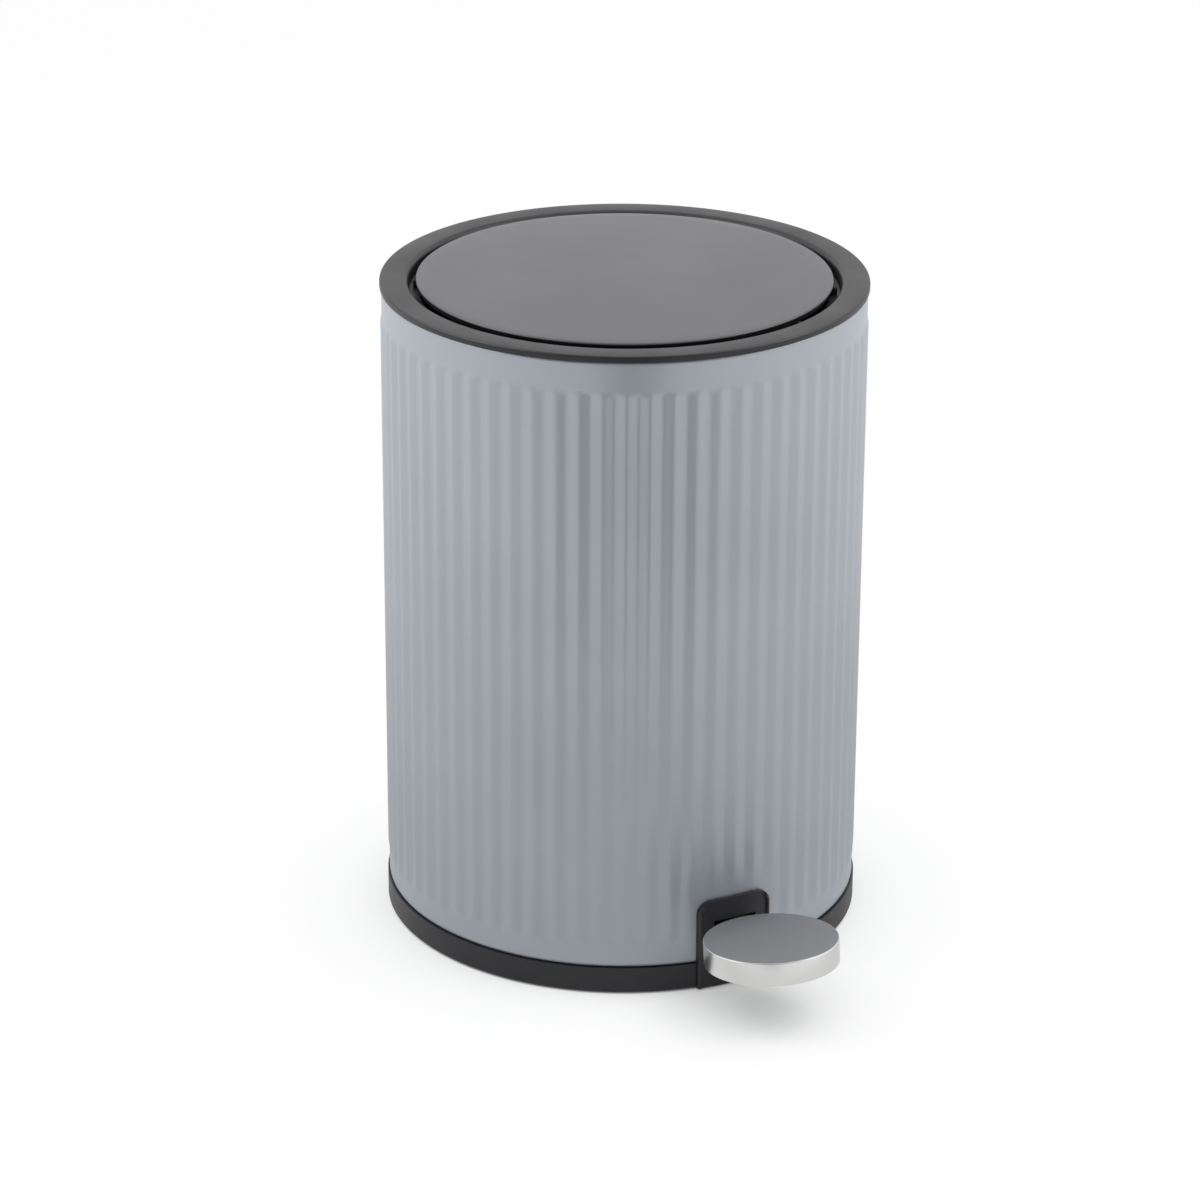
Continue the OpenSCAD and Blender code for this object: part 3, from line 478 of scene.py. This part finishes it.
rim_steps = 256
form = ring_of(bmesh.new(), [
    (93.5, 256.1, 0.3), (93.5, 258.6, 0.8), (82.4, 258.6, 2.4), (82.4, 253.0, 0.5),
    (77.8, 253.0, 0.4), (77.8, 251.5, 0.3), (84.2, 251.5, 0), (84.2, 256.6, 0.6),
    (90.25, 256.6, 0.6), (90.25, 246.1, 0.3), (92.05, 246.1, 0.5), (92.05, 256.1, 0),
], rim_steps)
rim = finished("rim_moulding", form, "bin", moulded_black)
carved(rim, block((44, 40, 5), (0, 62.4, 250.51)))
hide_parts("rim_ring")

# Lid. A disc pressed from thin steel with a low crown and a turned-down edge, painted dark grey.
# Its plastic liner carries the lugs and the slotted lever that the push rod lifts it by.
lid_radius = 79.7
lid_edge = 258.9
lid_foot = 255.9
crown = 1.1
lid_steel = 0.6
crown_steps = 14
satin_dark, tree, shader = coat("satin_dark", (0.085, 0.085, 0.091), 0.36)
tint(tree, shader, speckle(tree, 12, 2), (0.081, 0.081, 0.087), (0.0885, 0.0885, 0.0945))
tree.links.new(spread(tree, speckle(tree, 22), 0.33, 0.39), shader.inputs["Roughness"])
relief(tree, shader, speckle(tree, 900, 2), 0.00001, 0.3)

# painted shade: the turned-down edge, down in the gap under the rim, is coloured near black for the shade
# there
sprayed = shader.inputs["Base Color"].links[0].from_socket
level = tree.nodes.new("ShaderNodeSeparateXYZ")
tree.links.new(tree.nodes.new("ShaderNodeTexCoord").outputs["Object"], level.inputs[0])
shaded_lid_edge = tree.nodes.new("ShaderNodeMix")
shaded_lid_edge.data_type = "RGBA"
shaded_lid_edge.inputs["A"].default_value = (0.008, 0.008, 0.009, 1)
above_painted_shade = ramped(tree, level.outputs["Z"], (lid_edge - 0.75) * mm, (lid_edge - 0.35) * mm)
tree.links.new(above_painted_shade, shaded_lid_edge.inputs["Factor"])
tree.links.new(sprayed, shaded_lid_edge.inputs["B"])
tree.links.new(shaded_lid_edge.outputs["Result"], shader.inputs["Base Color"])

radii = [lid_radius * i / crown_steps for i in range(crown_steps)]
top = [(r, lid_edge + crown * (1 - (r / lid_radius) ** 2)) for r in radii]
form = ring_of(bmesh.new(), [
    *[(r, z, 0) for r, z in top],
    (lid_radius, lid_edge, 0.9),
    (lid_radius - 0.1, lid_edge - 0.9, 0.3),
    (lid_radius - 1.1, lid_foot, 0.2),
    (lid_radius - 1.7, lid_foot, 0.2),
    (lid_radius - 0.7 - lid_steel, lid_edge - 1.2, 0),
    (lid_radius - 0.9 - lid_steel, lid_edge - lid_steel, 0.1),
    *[(r, z - lid_steel, 0) for r, z in reversed(top)],
], rim_steps)
lid = finished("lid_disc", form, "lid", satin_dark)
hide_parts("lid_cap")
clad(moulded_black, "lid_liner")


# Pedal surround. A black plate moulded to the body's curve around the lever's slot, with a
# raised bead round its edge. It hides the cut edge of the shell.
def doorway(half, foot, top, corner, back):
    """A closed upright form with two rounded upper corners, from y 0 to y back, in mm."""
    form = bmesh.new()
    corners = [form.verts.new((x * mm, 0, z * mm)) for x, z in
               ((-half, foot), (half, foot), (half, top), (-half, top))]
    form.faces.new(corners)
    bmesh.ops.bevel(
        form, geom=corners[2:], offset=corner * mm, segments=10, profile=0.5,
        affect="VERTICES", material=-1,
    )
    lit_side_shaded_top = bmesh.ops.extrude_face_region(form, geom=form.faces[:])
    moved = [v for v in lit_side_shaded_top["geom"] if isinstance(v, bmesh.types.BMVert)]
    bmesh.ops.translate(form, verts=moved, vec=(0, back * mm, 0))
    return form


def whole(form):
    """All of a bmesh, as its cutting operators want it."""
    return form.verts[:] + form.edges[:] + form.faces[:]


surround_radius = 95.2
surround_deep = 5.6
surround_foot = 0.6
bead_wide = 1.5
bead_high = 0.8
bead_round = 0.62
panel_limit = 14.2
strip = 2.05
form = doorway(seat_half, -4, seat_top, 5.5, surround_deep)
front = [f for f in form.faces if all(abs(v.co.y) < 1e-7 for v in f.verts)]
bmesh.ops.inset_region(form, faces=front, thickness=bead_wide * mm, use_even_offset=True)
front = [f for f in form.faces if all(abs(v.co.y) < 1e-7 for v in f.verts) and
         max(abs(v.co.x) for v in f.verts) < panel_limit * mm]
sunk = bmesh.ops.extrude_face_region(form, geom=front)
moved = [v for v in sunk["geom"] if isinstance(v, bmesh.types.BMVert)]
bmesh.ops.translate(form, verts=moved, vec=(0, bead_high * mm, 0))
bmesh.ops.delete(form, geom=front, context="FACES")
for f in form.faces:
    if all(abs(v.co.y - bead_high * mm) < 1e-7 for v in f.verts):
        f.material_index = 1
bead = [e for e in form.edges if e.is_manifold and len(e.link_faces) == 2 and
        all(v.co.y < 1e-7 for v in e.verts) and e.calc_face_angle(0) > 0.8]
bmesh.ops.bevel(
    form, geom=bead, offset=bead_round * mm, segments=4, profile=0.5, affect="EDGES", material=-1,
)
bmesh.ops.bisect_plane(
    form, geom=whole(form), plane_co=(0, 0, surround_foot * mm), plane_no=(0, 0, 1), clear_inner=True,
)
bmesh.ops.holes_fill(form, edges=[e for e in form.edges if e.is_boundary])

# cut into upright strips, so that the flat form can be bent to the body's curve
for i in range(-7, 8):
    bmesh.ops.bisect_plane(form, geom=whole(form), plane_co=(i * strip * mm, 0, 0), plane_no=(1, 0, 0))
for v in form.verts:
    radius = surround_radius * mm - v.co.y
    v.co.y = -math.sqrt(radius**2 - v.co.x**2)
grained_black, tree, shader = coat("grained_black", (0.027, 0.0262, 0.0295), 0.48, specular=0.42)
tint(tree, shader, speckle(tree, 60), (0.0255, 0.0248, 0.028), (0.0285, 0.0277, 0.031))
relief(tree, shader, speckle(tree, 2600, 2), 0.00003, 0.6)
bead_black, tree, shader = coat("bead_black", (0.022, 0.0212, 0.0248), 0.36)
tint(tree, shader, speckle(tree, 60), (0.02, 0.0195, 0.023), (0.024, 0.023, 0.027))
relief(tree, shader, speckle(tree, 2600, 2), 0.00001, 0.4)
surround = finished("pedal_surround_plate", form, "bin", bead_black)
surround.data.materials.append(grained_black)
carved(surround, block((18, 20, 23.5), (0, -92, 16.75)))
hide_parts("pedal_surround")

# Pedal. A round cap drawn from stainless steel over a plastic core, brushed to a satin, held by
# two screws to the lever that runs back under the floor.
axle_y = -22
axle_z = 14
lever_slope = math.radians(-6)
pedal_reach = 101.15
in_pedal = (
    Matrix.Translation((0, axle_y * mm, axle_z * mm))
    @ Matrix.Rotation(lever_slope, 4, "X")
    @ Matrix.Translation((0, -pedal_reach * mm, 0))
)
cap_radius = 25.8
cap_top = 7.3
cap_foot = -2.0
cap_steel = 0.8
shoulder_low = 6.9
shoulder_high = 7.25
satin_steel, tree, shader = coat("brushed_satin", (0.63, 0.625, 0.615), 0.3, metallic=1.0)
place = tree.nodes.new("ShaderNodeMapping")
place.vector_type = "TEXTURE"
place.inputs["Location"].default_value = in_pedal.translation
place.inputs["Rotation"].default_value = in_pedal.to_euler()
tree.links.new(tree.nodes.new("ShaderNodeTexCoord").outputs["Object"], place.inputs["Vector"])
brush = tree.nodes.new("ShaderNodeMapping")
brush.inputs["Scale"].default_value = (0.04, 1, 1)
tree.links.new(place.outputs["Vector"], brush.inputs["Vector"])
strokes = speckle(tree, 3500, 2, brush.outputs["Vector"])
# painted shade: the brushed top's colour is held near 0.25, far darker than the side's
tint(tree, shader, strokes, (0.234, 0.239, 0.25), (0.256, 0.261, 0.273))
relief(tree, shader, strokes, 0.000002, 0.5)

# the top is brushed and dull, and its dark colour is painted shade; the drawn side's
# near-white colour is a painted highlight
level = tree.nodes.new("ShaderNodeSeparateXYZ")
tree.links.new(place.outputs["Vector"], level.inputs[0])
on_top = ramped(tree, level.outputs["Z"], shoulder_low * mm, shoulder_high * mm)
brushed_top_shade = shader.inputs["Base Color"].links[0].from_socket
lit_side_shaded_top = tree.nodes.new("ShaderNodeMix")
lit_side_shaded_top.data_type = "RGBA"
lit_side_shaded_top.inputs["A"].default_value = (0.93, 0.925, 0.91, 1)
tree.links.new(on_top, lit_side_shaded_top.inputs["Factor"])
tree.links.new(brushed_top_shade, lit_side_shaded_top.inputs["B"])
tree.links.new(lit_side_shaded_top.outputs["Result"], shader.inputs["Base Color"])
dull = tree.nodes.new("ShaderNodeMix")
tree.links.new(on_top, dull.inputs["Factor"])
dull.inputs["A"].default_value = 0.27
tree.links.new(spread(tree, strokes, 0.6, 0.66), dull.inputs["B"])
tree.links.new(dull.outputs["Result"], shader.inputs["Roughness"])
tree.links.new(ramped(tree, on_top, 0, 1, 1, 0.45), shader.inputs["Metallic"])

form = ring_of(bmesh.new(), [
    (0, cap_top, 0), (cap_radius * 0.5, cap_top, 0),
    (cap_radius, cap_top, 0.6), (cap_radius, cap_foot, 0.25),
    (cap_radius - cap_steel, cap_foot, 0.25), (cap_radius - cap_steel, cap_top - cap_steel, 0.3),
    (0, cap_top - cap_steel, 0),
], 160)
bmesh.ops.transform(form, matrix=in_pedal, verts=form.verts[:])
cap = finished("pedal_cap_disc", form, "pedal", satin_steel)
form = block((14.6, 26.8, 7.4), (0, 13.4, 0.7))
bmesh.ops.transform(form, matrix=in_pedal, verts=form.verts[:])
carved(cap, form)
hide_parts("pedal_cap")
clad(moulded_black, "pedal_core")

# Bucket. A loose black polypropylene pail with a flanged rim and two ears for its wire bail.
# The bail's moulded grip is of the bin's own black plastic.
pail_black, tree, shader = coat("pail_black", (0.03, 0.03, 0.032), 0.5)
tint(tree, shader, speckle(tree, 40), (0.026, 0.026, 0.028), (0.034, 0.034, 0.036))
tree.links.new(spread(tree, speckle(tree, 30), 0.44, 0.56), shader.inputs["Roughness"])
relief(tree, shader, speckle(tree, 1500, 3), 0.00002, 0.5)
clad(pail_black, "inner_bucket")
clad(moulded_black, "bail_grip")
